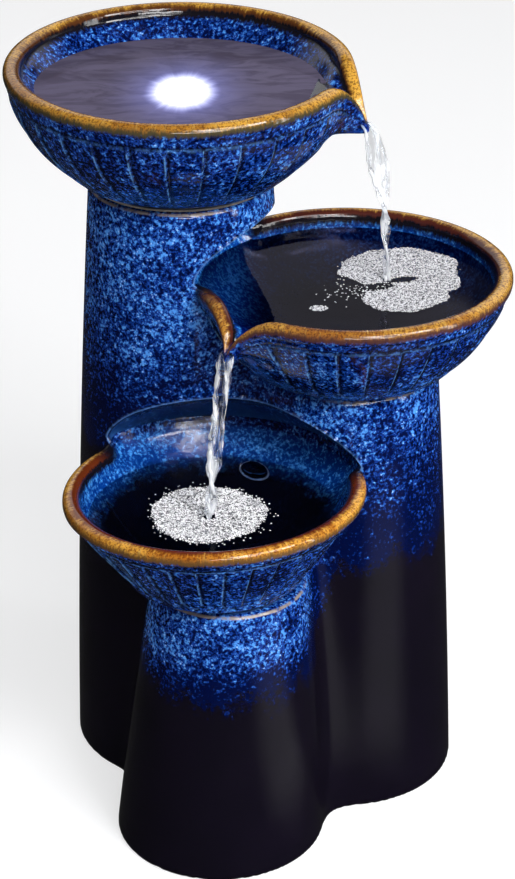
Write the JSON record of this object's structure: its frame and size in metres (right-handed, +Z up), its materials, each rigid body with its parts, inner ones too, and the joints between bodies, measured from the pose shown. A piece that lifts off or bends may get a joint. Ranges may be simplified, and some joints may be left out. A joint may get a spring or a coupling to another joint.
{
  "type": "tabletop water fountain",
  "caption": "Tabletop cascade fountain: round glazed ceramic bowls at stepped heights on fused hollow columns, with a lift-off top bowl, ring light and submersible pump inside.",
  "frame": {"origin": "on the surface the fountain stands on, under the middle of its outline", "axes": "+Z up along the columns; -Y towards the viewer and the lowest bowl; +X to the viewer's right, towards the middle bowl"},
  "size_m": [0.2883, 0.2846, 0.44],
  "materials": {
    "dark_glaze": "gloss",
    "blue_glaze": "gloss",
    "silicone": "satin",
    "black_plastic": "satin",
    "grey_plastic": "matte",
    "black_rubber": "matte",
    "circuit_board": "satin",
    "light_chip": "gloss",
    "clear_lens": "gloss",
    "clear_hose": "gloss",
    "magnet": "satin",
    "white_ceramic": "satin",
    "sponge": "matte"
  },
  "bodies": {
    "base": {"column_body": "dark_glaze", "middle_bowl": "blue_glaze", "lower_bowl": "blue_glaze", "seat_ring": "silicone", "light_socket": "black_plastic", "light_lead_lower": "black_rubber", "riser_hose": "clear_hose", "lead_clip_1": "grey_plastic", "lead_clip_2": "grey_plastic", "pump_motor": "black_plastic", "pump_volute": "black_plastic", "rotor_shaft": "white_ceramic", "front_bush": "black_rubber", "rear_bush": "black_rubber", "suction_cup_1": "black_rubber", "suction_cup_2": "black_rubber", "suction_cup_3": "black_rubber", "suction_cup_4": "black_rubber", "cord_gland": "black_rubber", "foot_pad_1": "black_rubber", "foot_pad_2": "black_rubber", "foot_pad_3": "black_rubber", "foot_pad_4": "black_rubber", "foot_pad_5": "black_rubber", "foot_pad_6": "black_rubber"},
    "top_bowl": {"top_bowl": "blue_glaze", "outlet_nozzle": "black_plastic", "nozzle_nut": "black_plastic", "nozzle_washer": "black_rubber", "light_housing": "grey_plastic", "light_board": "circuit_board", "light_chip_1": "light_chip", "light_chip_2": "light_chip", "light_chip_3": "light_chip", "light_chip_4": "light_chip", "light_lens": "clear_lens", "lead_grommet": "black_rubber", "light_lead_upper": "black_rubber", "light_plug": "black_plastic"},
    "strainer": {"strainer_cover": "grey_plastic", "filter_sponge": "sponge"},
    "dial": {"flow_dial": "black_plastic"},
    "rotor": {"impeller": "grey_plastic", "rotor_magnet": "magnet"}
  },
  "joints": [
    {"name": "top_bowl_lift", "type": "slide", "parent": "base", "child": "top_bowl", "axis": [0, 0, 1], "range_m": [0, 0.1]},
    {"name": "strainer_pull", "type": "slide", "parent": "base", "child": "strainer", "axis": [-1, 0, 0], "range_m": [0, 0.018]},
    {"name": "flow_dial_turn", "type": "hinge", "parent": "strainer", "child": "dial", "pos_m": [-0.08, 0.046, 0.05], "axis": [-1, 0, 0], "range_deg": [0, 90]},
    {"name": "rotor_spin", "type": "hinge", "parent": "base", "child": "rotor", "pos_m": [-0.05, 0.046, 0.038], "axis": [1, 0, 0], "continuous": true}
  ]
}
